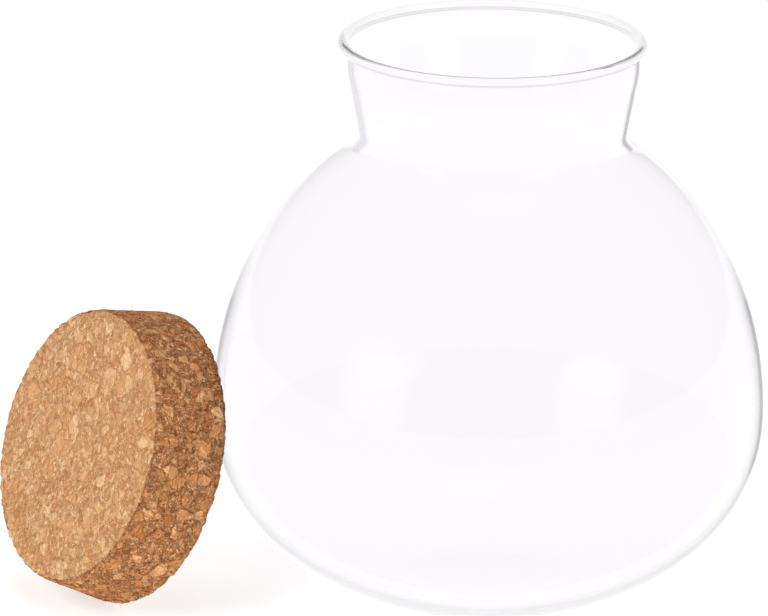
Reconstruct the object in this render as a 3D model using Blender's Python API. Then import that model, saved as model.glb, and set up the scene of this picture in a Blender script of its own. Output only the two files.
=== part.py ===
"""A round glass terrarium jar and its tapered cork stopper.

Metres, +Z up. The jar stands on z = 0 with its axis on Z. The stopper is out of the mouth: it stands
on its edge at -X and leans on the belly of the jar.
"""

import math

import bpy
import numpy as np
from mathutils import Matrix, Vector

# Jar, outside
BELLY_RADIUS = 0.0911
BELLY_HEIGHT = 0.0640
SHOULDER_RISE = 0.1020
BASE_RADIUS = 0.0280
NECK_ROOT_RADIUS = 0.0441
NECK_TOP_RADIUS = 0.0485
NECK_LENGTH = 0.0323
NECK_STRAIGHT = 0.0070
SHOULDER_BEND = 0.0055
NECK_BEND = 0.0035

# Jar, glass and rolled lip
WALL = 0.0019
BASE_THICKNESS = 0.0032
LIP_BEAD_RADIUS = 0.00155
LIP_OVERHANG = 0.0014
LIP_BEND = 0.0009

# Stopper, by how it sits in the mouth
SEAT_DEPTH = 0.0090
SEAT_CLEARANCE = 0.0003
STOPPER_THICKNESS = 0.0260
STOPPER_EDGE = 0.0011

# Stopper, by how it leans on the jar
LEAN_GAP = 0.0003

# Distance within which a turned solid closes on its axis
CLOSE = 0.00001

# Angles and shape exponents
STOPPER_TAPER = math.radians(8.4)
STOPPER_LEAN = math.radians(19.5)
STOPPER_TURN = math.radians(32.0)
STOPPER_BEARING = math.radians(5.8)
LOWER_FULLNESS = 2.1
BASE_FADE = 3.0

# Counts
JAR_STEPS = 64
STOPPER_STEPS = 64
BELLY_STEPS = 9
LIP_STEPS = 4
BEND_STEPS = 3
EDGE_STEPS = 2
FACE_RINGS = 8
CONTACT_STEPS = 180
CONTACT_HALVINGS = 30

# Looks
GLASS_COLOUR = (0.93, 0.95, 0.97, 1.0)
GLASS_ROUGHNESS = 0.02
GLASS_IOR = 1.47
CORK_COLOUR = (0.55, 0.33, 0.17, 1.0)
CORK_ROUGHNESS = 0.9


def bend(start, corner, end, steps):
    """Points of a soft corner from start to end, tangent to both sides of it, without the start."""
    points = []
    for i in range(1, steps + 1):
        t = i / steps
        points.append(start.lerp(corner, t).lerp(corner.lerp(end, t), t))
    return points


def shoulder_height(radius):
    """Height of the shoulder's ellipse where its circle has this radius."""
    return BELLY_HEIGHT + SHOULDER_RISE * math.sqrt(1 - (radius / BELLY_RADIUS) ** 2)


def lower_belly():
    """The rounded lower half, as (radius, height) from the base's edge up to the widest circle."""
    power = 2 / LOWER_FULLNESS
    start = math.acos((BASE_RADIUS / BELLY_RADIUS) ** (1 / power))
    drop = BELLY_HEIGHT / math.sin(start) ** power
    points = []
    for i in range(BELLY_STEPS):
        angle = start * (1 - i / BELLY_STEPS)
        radius = BELLY_RADIUS * math.cos(angle) ** power
        points.append(Vector((radius, BELLY_HEIGHT - drop * math.sin(angle) ** power)))
    return points


def upper_belly():
    """The shoulder, from the widest circle up to where it bends into the neck."""
    end = math.acos((NECK_ROOT_RADIUS + SHOULDER_BEND) / BELLY_RADIUS)
    points = []
    for i in range(BELLY_STEPS + 1):
        radius = BELLY_RADIUS * math.cos(end * i / BELLY_STEPS)
        points.append(Vector((radius, shoulder_height(radius))))
    return points


def neck_corners():
    """The neck's root, its top, where it turns straight up, and its end under the lip."""
    root = Vector((NECK_ROOT_RADIUS, shoulder_height(NECK_ROOT_RADIUS)))
    end = Vector((NECK_TOP_RADIUS, root.y + NECK_LENGTH))
    return root, end - Vector((0, NECK_STRAIGHT)), end


def outer_profile():
    """The jar's outside from the base's edge up to the end of the neck, under the lip."""
    root, top, end = neck_corners()
    points = lower_belly() + upper_belly()
    along = (top - root).normalized()
    points += bend(points[-1], root, root + along * SHOULDER_BEND, BEND_STEPS)
    points.append(top - along * NECK_BEND)
    points += bend(points[-1], top, top + Vector((0, NECK_BEND)), BEND_STEPS)
    points.append(end - Vector((0, LIP_BEND)))
    return points


def inner_profile(outer):
    """The outside moved inwards by the wall, which thickens to the base's thickness under the jar."""
    points = [Vector((0, BASE_THICKNESS))]
    for before, here, after in zip([Vector((0, 0))] + outer, outer, outer[1:] + outer[-1:]):
        along = (after - before).normalized()
        inward = Vector((-along.y, along.x))
        fade = max(inward.y, 0) ** BASE_FADE
        points.append(here + inward * (WALL + (BASE_THICKNESS - WALL) * fade))
    return points


def lip_centre():
    """The centre of the lip's bead: it overhangs the neck's outside."""
    _, _, end = neck_corners()
    rise = math.sqrt(LIP_BEAD_RADIUS**2 - (LIP_BEAD_RADIUS - LIP_OVERHANG) ** 2)
    return end + Vector((LIP_OVERHANG - LIP_BEAD_RADIUS, rise))


def lip_profile():
    """The bead, from its inner side over the top to where it comes back to the neck."""
    centre = lip_centre()
    _, _, end = neck_corners()
    stop = math.atan2(end.y - centre.y, end.x - centre.x)
    points = []
    for i in range(2 * LIP_STEPS + 1):
        angle = math.pi + (stop - math.pi) * i / (2 * LIP_STEPS)
        points.append(centre + LIP_BEAD_RADIUS * Vector((math.cos(angle), math.sin(angle))))
    return points


def mouth_radius():
    """The lip's inner radius, which the stopper is pushed into."""
    return lip_centre().x - LIP_BEAD_RADIUS


def stopper_radius(height):
    """The stopper's radius at a height above its small face."""
    return mouth_radius() - SEAT_CLEARANCE + (height - SEAT_DEPTH) * math.tan(STOPPER_TAPER)


def stopper_profile():
    """The stopper's outline as (radius, height above its small face), from its large face down."""
    small, large = stopper_radius(0), stopper_radius(STOPPER_THICKNESS)
    side = Vector((large - small, STOPPER_THICKNESS)).normalized() * STOPPER_EDGE
    bottom, top = Vector((small, 0)), Vector((large, STOPPER_THICKNESS))
    flat = Vector((STOPPER_EDGE, 0))
    points = [Vector((0, STOPPER_THICKNESS)), top - flat]
    points += bend(top - flat, top, top - side, EDGE_STEPS)
    points.append(bottom + side)
    points += bend(bottom + side, bottom, bottom - flat, EDGE_STEPS)
    points.append(Vector((0, 0)))
    return points


def turned(name, profile, steps):
    """A solid of revolution about Z, from a profile that comes back to the axis down its outside."""
    mesh = bpy.data.meshes.new(name)
    edges = [(i, i + 1) for i in range(len(profile) - 1)]
    mesh.from_pydata([(point.x, 0, point.y) for point in profile], edges, [])
    obj = bpy.data.objects.new(name, mesh)
    bpy.context.collection.objects.link(obj)
    screw = obj.modifiers.new("Turn", "SCREW")
    screw.steps = steps
    screw.render_steps = steps
    screw.use_merge_vertices = True
    screw.merge_threshold = CLOSE
    screw.use_smooth_shade = True
    return obj


def material(name, colour, roughness):
    found = bpy.data.materials.new(name)
    found.use_nodes = True
    shader = found.node_tree.nodes["Principled BSDF"]
    shader.inputs["Base Color"].default_value = colour
    shader.inputs["Roughness"].default_value = roughness
    shader.inputs["Metallic"].default_value = 0
    found.diffuse_color = colour
    return found


def glass_material():
    found = material("clear_glass", GLASS_COLOUR, GLASS_ROUGHNESS)
    shader = found.node_tree.nodes["Principled BSDF"]
    shader.inputs["Transmission Weight"].default_value = 1
    shader.inputs["IOR"].default_value = GLASS_IOR
    return found


def make_jar(outer):
    profile = inner_profile(outer) + lip_profile() + outer[::-1] + [Vector((0, 0))]
    jar = turned("glass_jar", profile, JAR_STEPS)
    jar.data.materials.append(glass_material())
    return jar


def leaning_matrix(distance):
    """The stopper on its edge, this far from the jar's axis: its own axis dips towards the jar."""
    axis = Vector((
        math.cos(STOPPER_LEAN) * math.cos(STOPPER_TURN),
        math.cos(STOPPER_LEAN) * math.sin(STOPPER_TURN),
        -math.sin(STOPPER_LEAN),
    ))
    uphill = Vector((
        math.sin(STOPPER_LEAN) * math.cos(STOPPER_TURN),
        math.sin(STOPPER_LEAN) * math.sin(STOPPER_TURN),
        math.cos(STOPPER_LEAN),
    ))
    turned_in = Matrix((uphill, axis.cross(uphill), axis)).transposed()
    lowest = [turned_in @ Vector((-point.x, 0, point.y)) for point in stopper_profile()]
    foot = min(lowest, key=lambda point: point.z)
    bearing = Vector((-math.cos(STOPPER_BEARING), -math.sin(STOPPER_BEARING), 0))
    return Matrix.Translation(bearing * distance - foot) @ turned_in.to_4x4()


def stopper_cloud():
    """Points all over the stopper's skin, in its own frame, to measure gaps from."""
    large = stopper_radius(STOPPER_THICKNESS) - STOPPER_EDGE
    circles = [(point.x, point.y) for point in stopper_profile()]
    circles += [(large * i / FACE_RINGS, STOPPER_THICKNESS) for i in range(1, FACE_RINGS)]
    angles = np.linspace(0, 2 * math.pi, CONTACT_STEPS, endpoint=False)
    rings = [
        np.stack([r * np.cos(angles), r * np.sin(angles), np.full(CONTACT_STEPS, h)], axis=1)
        for r, h in circles
    ]
    return np.concatenate(rings)


def least_gap(cloud, place, outer):
    """The least gap from the placed points to the jar's outside; negative where they cut into it."""
    turn = np.array(place.to_3x3())
    points = cloud @ turn.T + np.array(place.translation)
    flat = np.stack([np.hypot(points[:, 0], points[:, 1]), points[:, 2]], axis=1)
    line = np.array([point[:] for point in outer])
    runs = line[1:] - line[:-1]
    offsets = flat[:, None] - line[None, :-1]
    shares = np.clip((offsets * runs).sum(axis=2) / (runs**2).sum(axis=1), 0, 1)
    aways = offsets - shares[:, :, None] * runs
    lengths = np.hypot(aways[:, :, 0], aways[:, :, 1])
    sides = np.sign(aways[:, :, 0] * runs[:, 1] - aways[:, :, 1] * runs[:, 0])
    nearest = lengths.argmin(axis=1)[:, None]
    gaps = np.take_along_axis(lengths * sides, nearest, axis=1)
    return gaps.min()


def leaning_distance(outer):
    """How far the stopper's foot is from the jar's axis where the stopper just leans on the jar."""
    cloud = stopper_cloud()
    near = BASE_RADIUS
    far = BELLY_RADIUS + 2 * stopper_radius(STOPPER_THICKNESS) + STOPPER_THICKNESS
    for _ in range(CONTACT_HALVINGS):
        middle = (near + far) / 2
        if least_gap(cloud, leaning_matrix(middle), outer) < LEAN_GAP:
            near = middle
        else:
            far = middle
    return far


def make_stopper(outer):
    stopper = turned("cork_stopper", stopper_profile(), STOPPER_STEPS)
    stopper.matrix_world = leaning_matrix(leaning_distance(outer))
    stopper.data.materials.append(material("cork", CORK_COLOUR, CORK_ROUGHNESS))
    return stopper


def main():
    for old in list(bpy.data.objects):
        bpy.data.objects.remove(old)
    outer = outer_profile()
    make_jar(outer)
    make_stopper(outer)


main()
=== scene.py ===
"""The looks of a round glass terrarium jar and of the tapered cork stopper that leans on it.

Metres, +Z up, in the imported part's frame: the jar stands on z = 0 with its axis on Z, and the photograph
looks along +Y from slightly above.
"""

import math

import bpy
import numpy as np
from mathutils import Matrix, Vector


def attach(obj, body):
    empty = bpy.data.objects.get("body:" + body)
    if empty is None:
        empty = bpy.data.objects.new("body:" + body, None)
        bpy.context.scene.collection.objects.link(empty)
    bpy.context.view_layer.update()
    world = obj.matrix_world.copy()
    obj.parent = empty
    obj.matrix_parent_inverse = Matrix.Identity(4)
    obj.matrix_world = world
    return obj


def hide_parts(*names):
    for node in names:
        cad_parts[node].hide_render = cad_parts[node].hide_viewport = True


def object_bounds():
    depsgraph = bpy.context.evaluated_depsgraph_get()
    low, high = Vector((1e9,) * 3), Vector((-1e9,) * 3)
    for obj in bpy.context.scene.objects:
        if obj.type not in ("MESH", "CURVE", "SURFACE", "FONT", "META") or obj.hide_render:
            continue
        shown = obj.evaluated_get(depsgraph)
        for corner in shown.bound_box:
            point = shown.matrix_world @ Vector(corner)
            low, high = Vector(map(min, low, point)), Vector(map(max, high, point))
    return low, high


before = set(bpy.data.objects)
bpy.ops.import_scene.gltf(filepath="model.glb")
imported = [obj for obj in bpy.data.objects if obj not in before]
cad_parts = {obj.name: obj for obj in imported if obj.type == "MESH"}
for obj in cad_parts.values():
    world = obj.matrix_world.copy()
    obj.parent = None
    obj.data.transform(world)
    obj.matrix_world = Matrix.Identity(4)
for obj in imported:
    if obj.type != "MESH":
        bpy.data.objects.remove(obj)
cad_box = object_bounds()

# Jar, outside
BELLY_RADIUS = 0.0911
BELLY_HEIGHT = 0.0640
SHOULDER_RISE = 0.1020
BASE_RADIUS = 0.0280
NECK_ROOT_RADIUS = 0.0441
NECK_TOP_RADIUS = 0.0485
NECK_LENGTH = 0.0323
NECK_STRAIGHT = 0.0070
SHOULDER_BEND = 0.0055
NECK_BEND = 0.0035
LOWER_FULLNESS = 2.1

# Jar, glass and rolled lip
WALL = 0.0019
BASE_THICKNESS = 0.0032
BASE_FADE = 3.0
LIP_BEAD_RADIUS = 0.00155
LIP_OVERHANG = 0.0014
LIP_BEND = 0.0009

# Slow waves of the blown glass inside, each with its lobes round the jar, its pitch and its turn
RIPPLE = 0.00004
RIPPLES = ((2, 31.0, 0.4), (3, -47.0, 1.9), (5, 22.0, 4.1))

# Steps round and along the jar
JAR_STEPS = 240
BELLY_STEPS = 44
LIP_STEPS = 18
BEND_STEPS = 8
NECK_STEPS = 10
BASE_STEPS = 10

# Stopper
SEAT_DEPTH = 0.0090
SEAT_CLEARANCE = 0.0003
STOPPER_THICKNESS = 0.0260
STOPPER_TAPER = math.radians(8.4)
STOPPER_LEAN = math.radians(19.5)
STOPPER_TURN = math.radians(32)
STOPPER_EDGE = 0.0011
EDGE_STEPS = 6
STOPPER_STEPS = 160
SKIN_CELL = 0.00052

# Stopper's skin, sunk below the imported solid's
RELIEF_ROOM = 0.00005
CREASE_DEPTH = 0.00020
LIFT_DEPTH = 0.00018
PIT_DEPTH = 0.00060
CHIP_DEPTH = 0.00100
CHIP_REACH = 0.0020
SIDE_BLEND = 0.0004
SIDE_ROUGHER = 0.8

# Swirls that bend the granules: noise scale per mm, its detail and how far it moves a point in mm
DRIFTS = ((0.10, 1.0, 4.0), (0.60, 3.0, 1.5))
DRIFT_ROUGHNESS = 0.6

# Granules from crumbs to the largest: cell size in mm, share on the faces and on the side, seam and depth
GRANULES = (
    ((1.4, 1.4, 1.2), 1.0, 1.0, 0.18, 0.8),
    ((3.4, 3.0, 2.8), 0.42, 0.36, 0.10, 1.0),
    ((5.6, 4.8, 5.0), 0.12, 0.08, 0.07, 1.0),
)
MM_PER_M = 1000.0

# Patches of noise over the cork: its scale per mm, detail and roughness, and where a patch comes and is full
SEAM_PATCHES = (0.7, 2.0, 0.5, 0.30, 0.62)
PIT_PATCHES = (0.9, 2.0, 0.6, 0.67, 0.75)
CHIP_PATCHES = (0.42, 3.0, 0.6, 0.42, 0.66)
CURL_PATCHES = (0.45, 2.0, 0.5, 0.42, 0.62)
CRACK_PATCHES = (2.1, 2.0, 0.6, 0.58, 0.66)
ZONE_PATCHES = (0.06, 2.0, 0.5, 0.35, 0.65)
FAINT_SEAM = 0.35

# Plain noises over the cork: scale per mm, detail and roughness
GRIT = (1.8, 3.0, 0.80)
ROUGH_SPOTS = (1.4, 2.0, 0.5)

# Straight growth lines in each granule: how many per mm and their noise's detail
LAYERS_PER_MM = 1.6
LAYER_DETAIL = 2.0

# Thin curly lines in the granules: noise scale per mm and the width of the line in the noise's own values,
# then that noise's detail and roughness, and the share of the width that is fully dark
CURLS = ((0.45, 0.10), (0.85, 0.13))
CURL_NOISE = (3.0, 0.65)
CURL_CORE = 0.2

# How strong each mark is, as a pair for the stopper's faces and for its side
TONE_SPREAD = (0.82, 0.62)
GRIT_SPREAD = (2.9, 4.4)
CURL_SHADE = (0.75, 0.85)
CRACK_SHADE = (0.55, 0.90)
DARK_SHADE = (0.62, 0.85)
DARK_BUMP = (0.9, 1.4)
FLECK_SHARE = (0.45, 0.04)

# How strong each mark is, where that is the same all over, and how much of its marks a large granule keeps
LAYER_SPREAD = 1.2
LARGE_CALM = 0.55
RUSSET_SHARE = 0.11
OLIVE_SHARE = 0.42
ZONE_SHARE = 0.10
# Painted shade: how far the side darkens towards the seam colour next to the rims
RIM_SHADE_SHARE = 0.28
# Painted shade: how far the pits darken towards their dark colour
PIT_SHADE_SHARE = 0.60
LAYER_BUMP = 0.7
GRIT_BUMP = 1.6

# A granule turns russet as its hue rises over the first two values, and olive as it falls over the others
RUSSET_HUES = (0.70, 0.98)
OLIVE_HUES = (0.04, 0.24)

# Pale flecks: their cells per mm, and the luck over which a cell becomes a fleck
FLECK_CELLS = (1.4, 2.0, 2.0)
FLECK_LUCK = (0.955, 0.985)

# Cork's roughness in its smoothest and roughest spots, and its fine bump
CORK_ROUGHNESS = (0.74, 0.98)
CORK_BUMP = {"Strength": 0.8, "Distance": 0.00024}

# Camera, from the photograph's view
CAMERA_PLACE = (-0.0344, -2.2, 0.7847)
CAMERA_PITCH = math.radians(17.363)
CAMERA_ROLL = math.radians(0.5)
SENSOR = 36.0
PICTURE_WIDTH = 768
FOCAL_PIXELS = 7042

# Floor: its size, how far it lies under the object, and over which distances its shadow fades out
FLOOR_SIZE = 60.0
FLOOR_DROP = 0.0001
SHADOW_REACH = (0.25, 0.60)

# The floor as it is seen, its own glow and what lamps add, and as it lights the object, colour and glow
FLOOR_GLOW = 0.64
FLOOR_SHADE = 0.50
FLOOR_BOUNCE = 0.85
FLOOR_LIFT = 0.70

# The world's light on the object, and what the lamps aim at
AMBIENT = 0.35
AIM = Vector((-0.03, 0.0, 0.08))

# How bright mirrored rays see the studio: off the glass's outside, inside its wall, and deeper, which is
# once they have come through more than three surfaces
OUTSIDE_REFLECTION = 1.00
WALL_REFLECTION = 1.03
DEEP_REFLECTION = 1.07
DEEP_SURFACES = 3.5

# Soft lights that only mirrored rays see: direction, angles of core and edge in degrees, and strength
HIGHLIGHTS = (
    ((-0.75, -0.62, 0.16), 5.0, 19.0, 0.55),
    ((0.66, -0.74, 0.14), 5.0, 19.0, 0.50),
    ((0.06, 0.10, 0.99), 4.0, 16.0, 0.25),
)

# The painted dark reflection, a thin line inside the glass's edge, as pairs for the belly and for the neck:
# how deep under the outside it lies, how much deeper and fainter it is at -X, and less deep and stronger at
# +X, and its width in cosine
LINE_DEPTHS = (0.0012, 0.0018)
LINE_X_SKEW = (0.08, 0.31)
LINE_WIDTHS = (0.20, 0.12)

# The line comes and stays over these multiples of the cosine where it lies, and then fades by a power
LINE_START = (0.72, 0.88)
LINE_STAY = 1.12
LINE_FADE = 1.9

# The line's strength on the belly, by how the outside leans from the base up to the shoulder, and the neck's
LINE_SLOPES = (-0.75, -0.50, -0.15, 0.33, 0.50)
LINE_STRENGTHS = (0.10, 0.45, 1.0, 1.0, 0.18)
NECK_LINE = 0.65

# The lip's painted dark line: the cosines where it lies and ends, and its strength along the bead from inside
# to outside
BEAD_LINE = (0.36, 0.80)
BEAD_ARC = (0.32, 0.35, 0.49, 0.53)
BEAD_STRENGTHS = (0.12, 0.95, 0.95, 0.05)

# Strength and cosines where there is no line
NO_LINE = (0.0, 1.0, 2.0)

# Glass: its index, its colour in the clear and in the painted dark line, and its shadow's tints, face on and
# at its edge
GLASS_INDEX = 1.47
GLASS_CLEAR = (0.991, 0.978, 1.0, 1.0)
GLASS_PAINTED_LINE = (0.02, 0.02, 0.025, 1.0)
SHADOW_TINTS = ((0.97, 0.97, 0.98, 1.0), (0.55, 0.55, 0.58, 1.0))
SHADOW_EDGE = 0.25

# Glass's slow waves and faint smears: scales per m, detail and strength
WAVE_SCALE = 22.0
WAVE_DETAIL = 1.0
WAVE_BUMP = {"Strength": 0.15, "Distance": 0.0004}
SMEAR_SCALES = (60.0, 60.0, 18.0)
SMEAR_DETAIL = 3.0
SMEAR_STEP = (0.45, 0.85)
SMEAR_ROUGHNESS = 0.02

# Light inside a glass wall is led along it by many reflections
BOUNCES = 600

# Softboxes: name, place, width and power
SOFTBOXES = (
    ("key", (-1.6, -1.4, 1.5), 1.2, 40.0),
    ("fill", (1.6, -1.2, 1.2), 1.2, 24.0),
    ("top", (0.0, 0.3, 2.2), 1.5, 18.0),
)


def linear(red, green, blue):
    """A colour given as sRGB bytes, as Blender's linear values."""
    parts = [value / 255 for value in (red, green, blue)]
    return tuple(v / 12.92 if v <= 0.04045 else ((v + 0.055) / 1.055) ** 2.4 for v in parts) + (1.0,)


# Cork's colours on its faces and on its side: from the darkest granules to the palest, then seams, and the
# painted shade in its pits
FACE_TONES = (
    (0.00, linear(178, 124, 80)),
    (0.25, linear(198, 148, 102)),
    (0.60, linear(209, 163, 118)),
    (0.88, linear(219, 177, 133)),
    (1.00, linear(232, 196, 154)),
)
SIDE_TONES = (
    (0.00, linear(148, 88, 52)),
    (0.25, linear(184, 124, 78)),
    (0.60, linear(204, 145, 97)),
    (0.88, linear(217, 164, 115)),
    (1.00, linear(234, 192, 148)),
)
FACE_SEAM = linear(122, 74, 40)
SIDE_SEAM = linear(86, 44, 22)
PIT_SHADE = linear(74, 42, 24)
RUSSET = linear(204, 130, 84)
OLIVE = linear(200, 162, 108)
SIDE_OLIVE = linear(176, 134, 82)
SPECK = linear(246, 218, 176)


def bend(start, corner, end, steps):
    """Points of a soft corner from start to end, tangent to both sides of it, without the start."""
    points = []
    for i in range(1, steps + 1):
        t = i / steps
        points.append(start.lerp(corner, t).lerp(corner.lerp(end, t), t))
    return points


def straight(start, end, steps):
    """Points from start to end, without the start."""
    return [start.lerp(end, i / steps) for i in range(1, steps + 1)]


def shoulder_height(radius):
    return BELLY_HEIGHT + SHOULDER_RISE * math.sqrt(1 - (radius / BELLY_RADIUS) ** 2)


def lower_belly():
    """The rounded lower half, as (radius, height) from the base's edge up to the widest circle."""
    power = 2 / LOWER_FULLNESS
    start = math.acos((BASE_RADIUS / BELLY_RADIUS) ** (1 / power))
    drop = BELLY_HEIGHT / math.sin(start) ** power
    points = []
    for i in range(BELLY_STEPS):
        angle = start * (1 - i / BELLY_STEPS)
        radius = BELLY_RADIUS * math.cos(angle) ** power
        points.append(Vector((radius, BELLY_HEIGHT - drop * math.sin(angle) ** power)))
    return points


def upper_belly():
    """The shoulder, from the widest circle up to where it bends into the neck."""
    end = math.acos((NECK_ROOT_RADIUS + SHOULDER_BEND) / BELLY_RADIUS)
    radii = [BELLY_RADIUS * math.cos(end * i / BELLY_STEPS) for i in range(BELLY_STEPS + 1)]
    return [Vector((radius, shoulder_height(radius))) for radius in radii]


def neck_corners():
    """The neck's root, its top, where it turns straight up, and its end under the lip."""
    root = Vector((NECK_ROOT_RADIUS, shoulder_height(NECK_ROOT_RADIUS)))
    end = Vector((NECK_TOP_RADIUS, root.y + NECK_LENGTH))
    return root, end - Vector((0, NECK_STRAIGHT)), end


def outer_profile():
    """The jar's outside from the base's edge up to the end of the neck, under the lip."""
    root, top, end = neck_corners()
    points = lower_belly() + upper_belly()
    along = (top - root).normalized()
    points += bend(points[-1], root, root + along * SHOULDER_BEND, BEND_STEPS)
    points += straight(points[-1], top - along * NECK_BEND, NECK_STEPS)
    points += bend(points[-1], top, top + Vector((0, NECK_BEND)), BEND_STEPS)
    points += straight(points[-1], end - Vector((0, LIP_BEND)), NECK_STEPS // 2)
    return points


def inner_profile(outer):
    """The outside moved inwards by the wall, which thickens to the base's thickness under the jar."""
    points = []
    for before, here, after in zip([Vector((0, 0))] + outer, outer, outer[1:] + outer[-1:]):
        along = (after - before).normalized()
        inward = Vector((-along.y, along.x))
        fade = max(inward.y, 0) ** BASE_FADE
        points.append(here + inward * (WALL + (BASE_THICKNESS - WALL) * fade))
    return points


def lip_centre():
    """The centre of the bead that the lip is rolled into."""
    end = neck_corners()[2]
    rise = math.sqrt(LIP_BEAD_RADIUS**2 - (LIP_BEAD_RADIUS - LIP_OVERHANG) ** 2)
    return end + Vector((LIP_OVERHANG - LIP_BEAD_RADIUS, rise))


def lip_profile():
    """The bead, from its inner side over the top to where it comes back to the neck."""
    end, centre = neck_corners()[2], lip_centre()
    stop = math.atan2(end.y - centre.y, end.x - centre.x)
    points = []
    for i in range(2 * LIP_STEPS + 1):
        angle = math.pi + (stop - math.pi) * i / (2 * LIP_STEPS)
        points.append(centre + LIP_BEAD_RADIUS * Vector((math.cos(angle), math.sin(angle))))
    return points


def turned_mesh(name, radii, heights):
    """A closed mesh turned round Z, its rings given from a pole inside or on top to the one below.

    radii has a row for each ring and a column for each step round it, and heights one value a ring.
    """
    rings, steps = radii.shape
    angles = np.linspace(0, 2 * math.pi, steps, endpoint=False)
    levels = np.broadcast_to(heights[:, None], radii.shape)
    points = np.stack([radii * np.cos(angles), radii * np.sin(angles), levels], axis=2).reshape(-1, 3)
    poles = [(0, 0, heights[0]), (0, 0, heights[-1])]
    first, last = rings * steps, rings * steps + 1
    faces = []
    for j in range(steps):
        k = (j + 1) % steps
        columns = [(ring * steps + j, ring * steps + k) for ring in range(rings)]
        faces.append((first, *columns[0]))
        faces += [(a, c, d, b) for (a, b), (c, d) in zip(columns, columns[1:])]
        faces.append((columns[-1][0], last, columns[-1][1]))
    mesh = bpy.data.meshes.new(name)
    mesh.from_pydata(points.tolist() + poles, [], faces)
    mesh.shade_smooth()
    return mesh


def name_values(mesh, name, kind, values):
    field = "vector" if kind == "FLOAT_VECTOR" else "value"
    mesh.attributes.new(name, kind, "POINT").data.foreach_set(field, values.astype(np.float32).ravel())


def place(name, data):
    obj = bpy.data.objects.new(name, data)
    bpy.context.scene.collection.objects.link(obj)
    return obj


def evaluated_mesh(obj, name):
    """The object's mesh with its modifiers applied. The object itself is removed."""
    bpy.context.view_layer.update()
    evaluated = obj.evaluated_get(bpy.context.evaluated_depsgraph_get())
    mesh = bpy.data.meshes.new_from_object(evaluated)
    mesh.name = name
    bpy.data.objects.remove(obj)
    return mesh


class Nodes:
    """Short ways to add nodes to a shader or geometry tree, which share their textures and maths."""

    def __init__(self, tree):
        self.tree = tree

    def add(self, kind, inputs=None, **settings):
        node = self.tree.nodes.new(kind)
        for name, value in settings.items():
            setattr(node, name, value)
        for name, value in (inputs or {}).items():
            if isinstance(value, bpy.types.NodeSocket):
                self.tree.links.new(value, node.inputs[name])
            else:
                node.inputs[name].default_value = value
        return node

    def math(self, operation, a, b=0.0):
        return self.add("ShaderNodeMath", {0: a, 1: b}, operation=operation).outputs[0]

    def plus(self, a, b):
        return self.math("ADD", a, b)

    def minus(self, a, b):
        return self.math("SUBTRACT", a, b)

    def times(self, a, b):
        return self.math("MULTIPLY", a, b)

    def vector(self, operation, a, b=(0.0, 0.0, 0.0)):
        return self.add("ShaderNodeVectorMath", {0: a, 1: b}, operation=operation).outputs["Vector"]

    def between(self, share, a, b):
        """a where share is 0, b where it is 1."""
        return self.plus(a, self.times(share, self.minus(b, a)))

    def step(self, value, low, high):
        """0 below low and 1 above high, smoothly in between."""
        inputs = {"Value": value, "From Min": low, "From Max": high}
        return self.add("ShaderNodeMapRange", inputs, interpolation_type="SMOOTHSTEP").outputs["Result"]

    def inverse(self, value):
        return self.minus(1.0, value)

    def noise(self, point, scale, detail=2.0, rough=0.5, output="Fac"):
        inputs = {"Vector": point, "Scale": scale, "Detail": detail, "Roughness": rough}
        return self.add("ShaderNodeTexNoise", inputs, noise_dimensions="3D").outputs[output]

    def patches(self, point, scale, detail, rough, low, high):
        """Patches of noise, 0 outside them and 1 where they are full."""
        return self.step(self.noise(point, scale, detail, rough), low, high)

    def cells(self, point, feature="F1"):
        return self.add("ShaderNodeTexVoronoi", {"Vector": point, "Scale": 1.0}, feature=feature).outputs

    def carried(self, name, output="Fac"):
        """A value that the mesh carries at each vertex."""
        return self.add("ShaderNodeAttribute", attribute_name=name).outputs[output]

    def parts(self, value):
        """The three parts of a vector or a colour."""
        return self.add("ShaderNodeSeparateXYZ", {0: value}).outputs

    def ramp(self, value, stops):
        node = self.add("ShaderNodeValToRGB", {0: value})
        marks = node.color_ramp.elements
        while len(marks) < len(stops):
            marks.new(0.5)
        for mark, (spot, colour) in zip(marks, stops):
            mark.position, mark.color = spot, colour
        return node.outputs[0]

    def blend(self, share, a, b):
        """Colour a where share is 0, colour b where it is 1."""
        node = self.add("ShaderNodeMix", data_type="RGBA")
        given = {"Factor_Float": share, "A_Color": a, "B_Color": b}
        for socket in node.inputs:
            value = given.get(socket.identifier)
            if isinstance(value, bpy.types.NodeSocket):
                self.tree.links.new(value, socket)
            elif value is not None:
                socket.default_value = value
        return next(socket for socket in node.outputs if socket.identifier == "Result_Color")


def new_material(name):
    """A material whose tree is empty but for its output, as (material, nodes, output)."""
    material = bpy.data.materials.new(name)
    material.use_nodes = True
    material.node_tree.nodes.clear()
    n = Nodes(material.node_tree)
    return material, n, n.add("ShaderNodeOutputMaterial")


def layers(n, mm, dice):
    """Thin parallel growth lines, turned another way in each granule by its own dice, from 0 to 1."""
    way = n.vector("NORMALIZE", n.vector("SUBTRACT", dice, (0.5,) * 3))
    along = n.add("ShaderNodeVectorMath", {0: mm, 1: way}, operation="DOT_PRODUCT").outputs["Value"]
    inputs = {"W": n.times(along, LAYERS_PER_MM), "Scale": 1.0, "Detail": LAYER_DETAIL}
    return n.add("ShaderNodeTexNoise", inputs, noise_dimensions="1D").outputs["Fac"]


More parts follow.
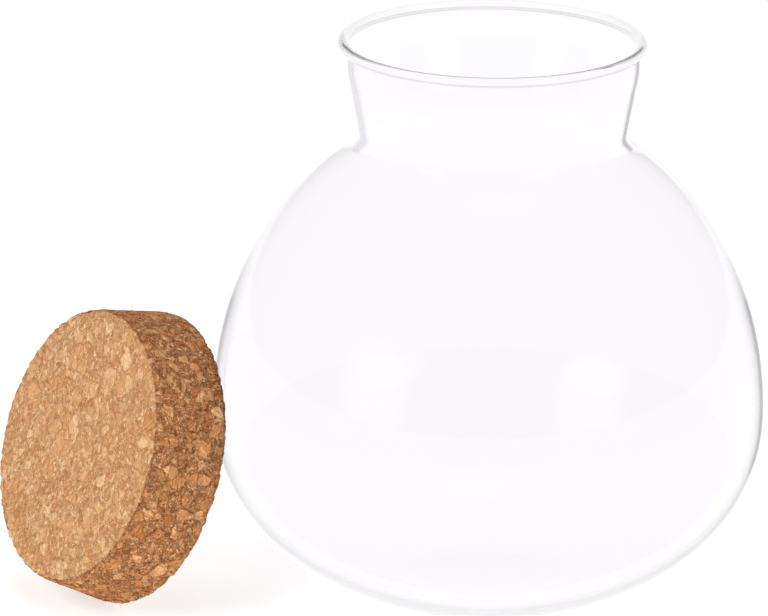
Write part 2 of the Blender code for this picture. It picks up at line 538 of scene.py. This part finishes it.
def granules(n, rest, side):
    """Cork's granules at a point in the stopper's own frame: a dict of values from 0 to 1, and mm.

    rest is in metres and side is 1 on the stopper's side. A few large granules and many middling ones
    lie among crumbs, all of them bent and swirled. mm is the swirled point in millimetres.
    """
    mm = n.vector("MULTIPLY", rest, (MM_PER_M,) * 3)
    for scale, detail, reach in DRIFTS:
        drift = n.vector("SUBTRACT", n.noise(mm, scale, detail, DRIFT_ROUGHNESS, "Color"), (0.5,) * 3)
        mm = n.vector("ADD", mm, n.vector("MULTIPLY", drift, (reach,) * 3))
    dice, seam, large = None, None, None
    for cell, share, side_share, width, depth in GRANULES:
        point = n.vector("MULTIPLY", mm, tuple(1 / size for size in cell))
        own = n.cells(point)["Color"]
        edge = n.cells(point, "DISTANCE_TO_EDGE")["Distance"]
        own_seam = n.times(n.inverse(n.step(edge, 0.0, width)), depth)
        if dice is None:
            dice, seam = own, own_seam
            continue
        luck = n.parts(own)[1]
        over = n.math("GREATER_THAN", luck, n.between(side, 1 - share, 1 - side_share))
        dice = n.blend(over, dice, own)
        seam = n.between(over, seam, own_seam)
        large = over if large is None else n.math("MAXIMUM", large, over)
    rolls = n.parts(dice)
    strength = n.between(n.patches(mm, *SEAM_PATCHES), FAINT_SEAM, 1.0)
    return {
        "mm": mm,
        "dice": dice,
        "tone": rolls[0],
        "lift": rolls[1],
        "hue": rolls[2],
        "large": large,
        "seam": n.times(seam, strength),
        "pit": n.patches(mm, *PIT_PATCHES),
    }


def relief_tree():
    """Geometry nodes that sink the stopper's skin along its seams, in its pits and at its chipped edges."""
    tree = bpy.data.node_groups.new("cork_relief", "GeometryNodeTree")
    tree.interface.new_socket("Geometry", in_out="INPUT", socket_type="NodeSocketGeometry")
    tree.interface.new_socket("Geometry", in_out="OUTPUT", socket_type="NodeSocketGeometry")
    n = Nodes(tree)
    given, made = n.add("NodeGroupInput"), n.add("NodeGroupOutput")
    rest = n.add("GeometryNodeInputPosition").outputs[0]
    side, rim = (
        n.add("GeometryNodeInputNamedAttribute", {"Name": name}, data_type="FLOAT").outputs[0]
        for name in ("side", "rim")
    )
    grain = granules(n, rest, side)
    rougher = n.plus(1.0, n.times(side, SIDE_ROUGHER))
    seams = n.times(grain["seam"], CREASE_DEPTH)
    lifts = n.times(n.inverse(grain["lift"]), LIFT_DEPTH)
    pits = n.times(grain["pit"], PIT_DEPTH)
    skin = n.times(n.plus(seams, n.plus(lifts, pits)), rougher)
    crumble = n.patches(grain["mm"], *CHIP_PATCHES)
    chips = n.times(n.times(crumble, rim), CHIP_DEPTH)
    sunk = n.plus(n.plus(skin, chips), RELIEF_ROOM)
    normal = n.add("GeometryNodeInputNormal").outputs[0]
    inwards = {0: normal, "Scale": n.times(sunk, -1.0)}
    offset = n.add("ShaderNodeVectorMath", inwards, operation="SCALE").outputs["Vector"]
    moved = n.add("GeometryNodeSetPosition", {"Geometry": given.outputs[0], "Offset": offset})
    tree.links.new(moved.outputs[0], made.inputs[0])
    return tree


def cork_marks(n, grain, side):
    """Marks within the cork's granules, as (lines, grit, busy, dark), each from 0 to 1.

    lines are growth lines, busy says how much of its marks a granule shows, and dark holds the seams,
    the curly lines and the cracks.
    """
    mm = grain["mm"]
    busy = n.between(grain["large"], 1.0, LARGE_CALM)
    curls = 0.0
    for scale, width in CURLS:
        curl = n.math("ABSOLUTE", n.minus(n.noise(mm, scale, *CURL_NOISE), 0.5))
        curls = n.math("MAXIMUM", curls, n.inverse(n.step(curl, CURL_CORE * width, width)))
    curls = n.times(curls, n.times(busy, n.patches(mm, *CURL_PATCHES)))
    cracks = n.times(n.patches(mm, *CRACK_PATCHES), busy)
    dark = n.math("MAXIMUM", grain["seam"], n.times(curls, n.between(side, *CURL_SHADE)))
    dark = n.math("MAXIMUM", dark, n.times(cracks, n.between(side, *CRACK_SHADE)))
    return layers(n, mm, grain["dice"]), n.noise(mm, *GRIT), busy, dark


def cork_tone(n, grain, side, lines, grit, busy):
    """How pale each spot of the cork is, about 0 for the darkest and 1 for the palest."""
    tone = n.between(n.between(side, *TONE_SPREAD), 0.5, grain["tone"])
    tone = n.plus(tone, n.times(n.minus(lines, 0.5), LAYER_SPREAD))
    gritty = n.times(n.minus(grit, 0.5), n.between(side, *GRIT_SPREAD))
    return n.plus(tone, n.times(gritty, busy))


def cork_colour(n, grain, side, rim, tone, dark):
    """The cork's colour by its tone, with russet and olive granules, dark marks, pale flecks, painted shade
    in its pits and painted shade along its side next to the rims.
    """
    colour = n.blend(side, n.ramp(tone, FACE_TONES), n.ramp(tone, SIDE_TONES))
    russet = n.times(n.step(grain["hue"], *RUSSET_HUES), RUSSET_SHARE)
    olive = n.times(n.inverse(n.step(grain["hue"], *OLIVE_HUES)), OLIVE_SHARE)
    zones = n.times(n.patches(grain["mm"], *ZONE_PATCHES), ZONE_SHARE)
    colour = n.blend(russet, colour, RUSSET)
    colour = n.blend(olive, colour, n.blend(side, OLIVE, SIDE_OLIVE))
    colour = n.blend(zones, colour, RUSSET)
    shade = n.times(dark, n.between(side, *DARK_SHADE))
    colour = n.blend(shade, colour, n.blend(side, FACE_SEAM, SIDE_SEAM))
    # Painted shade along the side next to the rims
    colour = n.blend(n.times(n.times(rim, side), RIM_SHADE_SHARE), colour, SIDE_SEAM)
    # Painted shade in the pits, which the relief also sinks
    colour = n.blend(n.times(grain["pit"], PIT_SHADE_SHARE), colour, PIT_SHADE)
    flecks = n.parts(n.cells(n.vector("MULTIPLY", grain["mm"], FLECK_CELLS))["Color"])
    fleck = n.times(n.step(flecks[0], *FLECK_LUCK), n.between(side, *FLECK_SHARE))
    return n.blend(fleck, colour, SPECK)


def cork_material():
    """Cork of pressed granules. The photograph's glass doesn't mirror the stopper, so rays that glass has
    mirrored pass through it.
    """
    material, n, output = new_material("cork")
    rest, side, rim = n.carried("rest", "Vector"), n.carried("side"), n.carried("rim")
    grain = granules(n, rest, side)
    lines, grit, busy, dark = cork_marks(n, grain, side)
    tone = cork_tone(n, grain, side, lines, grit, busy)
    rough = n.between(n.noise(grain["mm"], *ROUGH_SPOTS), *CORK_ROUGHNESS)
    bumps = n.plus(n.times(lines, LAYER_BUMP), n.times(grit, GRIT_BUMP))
    bumps = n.minus(bumps, n.times(dark, n.between(side, *DARK_BUMP)))
    bump = n.add("ShaderNodeBump", {"Height": bumps, **CORK_BUMP})
    skin = n.add("ShaderNodeBsdfPrincipled", {
        "Base Color": cork_colour(n, grain, side, rim, tone, dark), "Roughness": rough,
        "Normal": bump.outputs[0], "Specular IOR Level": 0.0})
    mirrored = n.math("GREATER_THAN", n.add("ShaderNodeLightPath").outputs["Glossy Depth"], 0.5)
    clear = n.add("ShaderNodeBsdfTransparent")
    both = n.add("ShaderNodeMixShader", {0: mirrored, 1: skin.outputs[0], 2: clear.outputs[0]})
    n.tree.links.new(both.outputs[0], output.inputs["Surface"])
    return material


def painted_glass_line(n):
    """How much of the painted dark line the glass's colour takes at its edge, from 0 to 1, where a ray comes
    in from outside.

    The line is a painted dark reflection. It lies where the ray just misses the wall's inside, soft towards
    the middle and with a pale band outside it. The mesh says how strong the line is and at which cosines of
    the ray's slant it lies and ends.
    """
    strength, at, end = n.parts(n.carried("line", "Vector"))
    cosine = n.inverse(n.add("ShaderNodeLayerWeight", {"Blend": 0.5}).outputs["Facing"])
    rise = n.step(n.math("DIVIDE", cosine, at), *LINE_START)
    room = n.minus(end, n.times(at, LINE_STAY))
    fall = n.math("DIVIDE", n.minus(end, cosine), room)
    fall = n.math("POWER", n.math("MINIMUM", n.math("MAXIMUM", fall, 0.0), 1.0), LINE_FADE)
    front = n.inverse(n.add("ShaderNodeNewGeometry").outputs["Backfacing"])
    return n.times(n.times(rise, fall), n.times(strength, front))


def glass_material():
    """Clear glass that lets the lamps' light through, so that its shadow stays pale."""
    material, n, output = new_material("clear_glass")
    point = n.add("ShaderNodeTexCoord").outputs["Object"]
    waves = n.noise(point, WAVE_SCALE, WAVE_DETAIL)
    smear = n.noise(n.vector("MULTIPLY", point, SMEAR_SCALES), 1.0, SMEAR_DETAIL)
    rough = n.times(n.step(smear, *SMEAR_STEP), SMEAR_ROUGHNESS)
    bump = n.add("ShaderNodeBump", {"Height": waves, **WAVE_BUMP})
    # The glass's colour takes the painted dark reflection as a thin line inside its edge
    colour = n.blend(painted_glass_line(n), GLASS_CLEAR, GLASS_PAINTED_LINE)
    glass = n.add("ShaderNodeBsdfPrincipled", {
        "Base Color": colour, "Roughness": rough, "IOR": GLASS_INDEX,
        "Transmission Weight": 1.0, "Normal": bump.outputs[0]})
    edge = n.add("ShaderNodeLayerWeight", {"Blend": SHADOW_EDGE}).outputs["Facing"]
    clear = n.add("ShaderNodeBsdfTransparent", {"Color": n.blend(edge, *SHADOW_TINTS)})
    lamp = n.add("ShaderNodeLightPath").outputs["Is Shadow Ray"]
    both = n.add("ShaderNodeMixShader", {0: lamp, 1: glass.outputs[0], 2: clear.outputs[0]})
    n.tree.links.new(both.outputs[0], output.inputs["Surface"])
    return material


def studio_light(n):
    """What a ray sees of the white studio, as (light, shown, through, reflected).

    shown is 1 for rays from the camera and for those that glass has mirrored or let through, through is
    1 for rays that have come through glass, and reflected is 1 for rays that have been mirrored.
    """
    path = n.add("ShaderNodeLightPath").outputs
    reflected = n.math("MINIMUM", path["Glossy Depth"], 1.0)
    through = n.math("GREATER_THAN", path["Transmission Depth"], 0.5)
    deeper = n.math("GREATER_THAN", path["Transmission Depth"], DEEP_SURFACES)
    mirrored = n.between(through, OUTSIDE_REFLECTION, WALL_REFLECTION)
    mirrored = n.between(deeper, mirrored, DEEP_REFLECTION)
    light = n.between(reflected, 1.0, mirrored)
    shown = n.math("MAXIMUM", path["Is Camera Ray"], path["Is Glossy Ray"])
    return light, n.math("MAXIMUM", shown, path["Is Transmission Ray"]), through, reflected


def floor_material():
    """White where it is lit, with the object's soft shadow. Far from the object and through glass it is
    plain white, and to the object it is a bright table that lifts the shade under it.
    """
    material, n, output = new_material("floor")
    light, shown, through, _ = studio_light(n)
    point = n.add("ShaderNodeNewGeometry").outputs["Position"]
    distance = n.add("ShaderNodeVectorMath", {0: point}, operation="LENGTH").outputs["Value"]
    plain = n.math("MAXIMUM", n.step(distance, *SHADOW_REACH), through)
    glow = n.times(light, n.between(plain, FLOOR_GLOW, 1.0))
    shade = n.times(light, n.times(n.inverse(plain), FLOOR_SHADE))
    grey = n.add("ShaderNodeCombineColor", {0: shade, 1: shade, 2: shade}).outputs[0]
    paper = n.add("ShaderNodeBsdfDiffuse", {"Color": grey})
    lit = n.add("ShaderNodeEmission", {"Strength": glow})
    seen = n.add("ShaderNodeAddShader", {0: paper.outputs[0], 1: lit.outputs[0]})
    table = n.add("ShaderNodeBsdfDiffuse", {"Color": (FLOOR_BOUNCE,) * 3 + (1.0,)})
    lift = n.add("ShaderNodeEmission", {"Strength": FLOOR_LIFT})
    bounce = n.add("ShaderNodeAddShader", {0: table.outputs[0], 1: lift.outputs[0]})
    both = n.add("ShaderNodeMixShader", {0: shown, 1: bounce.outputs[0], 2: seen.outputs[0]})
    n.tree.links.new(both.outputs[0], output.inputs["Surface"])
    return material


def line_values(profile, outer, angles):
    """The glass's painted dark line at each vertex of the jar, as its strength and the cosines where it lies
    and ends. It is the same all round, but for being stronger and less deep at +X than at -X, on the belly
    and the neck.
    """
    root = neck_corners()[0]
    rings = np.tile(NO_LINE, (len(profile), 1))
    x_skew = np.zeros(len(profile))
    first = len(profile) - BASE_STEPS + 1 - len(outer)
    for i in range(first, first + len(outer)):
        along = (profile[i - 1] - profile[i + 1]).normalized()
        neck = profile[i].y > root.y
        at = math.sqrt(2 * LINE_DEPTHS[neck] / max(profile[i].x, NECK_ROOT_RADIUS))
        strength = NECK_LINE if neck else np.interp(-along.x, LINE_SLOPES, LINE_STRENGTHS)
        rings[i] = strength, at, at + LINE_WIDTHS[neck]
        x_skew[i] = LINE_X_SKEW[neck]
    bead = slice(first - 2 * LIP_STEPS - 1, first)
    rings[bead, 0] = np.interp(np.linspace(0, 1, 2 * LIP_STEPS + 1), BEAD_ARC, BEAD_STRENGTHS)
    rings[bead, 1:] = BEAD_LINE
    turns = np.repeat(rings[:, None], len(angles), axis=1)
    lean = np.outer(x_skew, np.cos(angles))
    turns[:, :, 0] *= 1 + lean
    turns[:, :, 1:] *= np.sqrt(1 - lean)[:, :, None]
    return np.concatenate([turns.reshape(-1, 3), rings[[0, -1]]])


def make_jar():
    outer = outer_profile()
    inner = inner_profile(outer)
    floor_inside = straight(Vector((0, BASE_THICKNESS)), inner[0], BASE_STEPS)[:-1]
    underside = straight(outer[0], Vector((0, 0)), BASE_STEPS)[:-1]
    profile = floor_inside + inner + lip_profile() + outer[::-1] + underside
    line = np.array([point[:] for point in profile])
    radii = np.repeat(line[:, :1], JAR_STEPS, axis=1)
    angles = np.linspace(0, 2 * math.pi, JAR_STEPS, endpoint=False)
    inside = slice(len(floor_inside), len(floor_inside) + len(inner))
    for lobes, pitch, turn in RIPPLES:
        radii[inside] += RIPPLE * np.sin(lobes * angles + pitch * line[inside, 1:] + turn)
    mesh = turned_mesh("jar_glass", radii, np.minimum(line[:, 1], cad_box[1][2]))
    name_values(mesh, "line", "FLOAT_VECTOR", line_values(profile, outer, angles))
    mesh.materials.append(glass_material())
    return place("jar_glass", mesh)


def stopper_radius(height):
    """The stopper's radius at a height over its small face, so that it seats in the mouth."""
    mouth = lip_centre().x - LIP_BEAD_RADIUS
    return mouth - SEAT_CLEARANCE + (height - SEAT_DEPTH) * math.tan(STOPPER_TAPER)


def stopper_profile():
    """The stopper's outline from its large face down to its small one, with softened edges."""
    large = Vector((stopper_radius(STOPPER_THICKNESS), STOPPER_THICKNESS))
    small = Vector((stopper_radius(0), 0))
    down = (small - large).normalized() * STOPPER_EDGE
    inset = Vector((STOPPER_EDGE, 0))
    points = [large - inset]
    points += bend(points[-1], large, large + down, EDGE_STEPS)
    points.append(small - down)
    points += bend(points[-1], small, small - inset, EDGE_STEPS)
    return points


def stopper_place():
    """The leaning stopper's matrix, with its small face's centre at 0 and Z towards its large face."""
    lean, turn = STOPPER_LEAN, STOPPER_TURN
    axis = Vector((math.cos(lean) * math.cos(turn), math.cos(lean) * math.sin(turn), -math.sin(lean)))
    uphill = Vector((math.sin(lean) * math.cos(turn), math.sin(lean) * math.sin(turn), math.cos(lean)))
    turned = Matrix((uphill, axis.cross(uphill), axis)).transposed()
    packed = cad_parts["cork_stopper"].data.vertices
    points = np.array([vertex.co for vertex in packed]) @ np.array(turned)
    low, high = points.min(axis=0), points.max(axis=0)
    middle = (low + high) / 2
    return Matrix.Translation(turned @ Vector((middle[0], middle[1], low[2]))) @ turned.to_4x4()


def ease(values, reach):
    """0 at 0 and 1 from reach on, smoothly in between."""
    share = np.clip(values / reach, 0, 1)
    return share * share * (3 - 2 * share)


def make_stopper():
    line = np.array([point[:] for point in stopper_profile()])
    radii = np.repeat(line[:, :1], STOPPER_STEPS, axis=1)
    blank = place("cork_blank", turned_mesh("cork_blank", radii, line[:, 1]))
    even = blank.modifiers.new("even", "REMESH")
    even.mode, even.voxel_size = "VOXEL", SKIN_CELL
    skin = evaluated_mesh(blank, "cork_skin")
    points = np.empty(len(skin.vertices) * 3, np.float32)
    skin.vertices.foreach_get("co", points)
    points = points.reshape(-1, 3)
    reach = np.hypot(points[:, 0], points[:, 1])
    to_side = np.maximum(stopper_radius(points[:, 2]) - reach, 0)
    to_face = np.maximum(np.minimum(points[:, 2], STOPPER_THICKNESS - points[:, 2]), 0)
    name_values(skin, "side", "FLOAT", ease(to_face - to_side + SIDE_BLEND / 2, SIDE_BLEND))
    name_values(skin, "rim", "FLOAT", 1 - ease(np.maximum(to_side, to_face), CHIP_REACH))
    name_values(skin, "rest", "FLOAT_VECTOR", points)
    sunk = place("cork_sunk", skin)
    sunk.modifiers.new("relief", "NODES").node_group = relief_tree()
    mesh = evaluated_mesh(sunk, "cork_body")
    mesh.transform(stopper_place())
    mesh.shade_smooth()
    mesh.materials.clear()
    mesh.materials.append(cork_material())
    return place("cork_body", mesh)


def make_floor():
    half = FLOOR_SIZE / 2
    corners = [(x, y, -FLOOR_DROP) for x, y in ((-half, -half), (half, -half), (half, half), (-half, half))]
    mesh = bpy.data.meshes.new("floor")
    mesh.from_pydata(corners, [], [(0, 1, 2, 3)])
    mesh.materials.append(floor_material())
    return place("floor", mesh)


def make_world():
    """White for the rays that see it, with highlights for mirrored ones, and a soft fill for the rest."""
    world = bpy.data.worlds.new("studio")
    bpy.context.scene.world = world
    world.use_nodes = True
    world.node_tree.nodes.clear()
    n = Nodes(world.node_tree)
    light, shown, _, reflected = studio_light(n)
    direction = n.add("ShaderNodeTexCoord").outputs["Generated"]
    highlights = 0.0
    for spot, core, edge, strength in HIGHLIGHTS:
        towards = {0: direction, 1: Vector(spot).normalized()}
        cosine = n.add("ShaderNodeVectorMath", towards, operation="DOT_PRODUCT").outputs["Value"]
        glow = n.step(cosine, math.cos(math.radians(edge)), math.cos(math.radians(core)))
        highlights = n.plus(highlights, n.times(glow, strength))
    light = n.plus(light, n.times(highlights, reflected))
    sky = n.add("ShaderNodeBackground", {"Strength": n.between(shown, AMBIENT, light)})
    output = n.add("ShaderNodeOutputWorld")
    n.tree.links.new(sky.outputs[0], output.inputs["Surface"])


def make_softbox(name, spot, width, power):
    lamp = bpy.data.lights.new(name, "AREA")
    lamp.shape, lamp.size, lamp.energy = "SQUARE", width, power
    obj = place(name, lamp)
    obj.visible_glossy = obj.visible_transmission = False
    obj.location = spot
    obj.rotation_mode = "QUATERNION"
    obj.rotation_quaternion = (AIM - obj.location).to_track_quat("-Z", "Y")


def make_camera():
    camera = bpy.data.cameras.new("camera")
    camera.sensor_width = SENSOR
    camera.lens = FOCAL_PIXELS * SENSOR / PICTURE_WIDTH
    look = Matrix.Rotation(math.pi / 2 - CAMERA_PITCH, 4, "X") @ Matrix.Rotation(CAMERA_ROLL, 4, "Z")
    obj = place("camera", camera)
    obj.matrix_world = Matrix.Translation(CAMERA_PLACE) @ look
    bpy.context.scene.camera = obj


def main():
    scene = bpy.context.scene
    scene.view_settings.view_transform = "Standard"
    scene.cycles.max_bounces = scene.cycles.glossy_bounces = scene.cycles.transmission_bounces = BOUNCES
    make_camera()
    make_world()
    for softbox in SOFTBOXES:
        make_softbox(*softbox)
    make_floor()

    jar = make_jar()
    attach(jar, "jar")
    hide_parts("glass_jar")

    stopper = make_stopper()
    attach(stopper, "stopper")
    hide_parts("cork_stopper")


main()
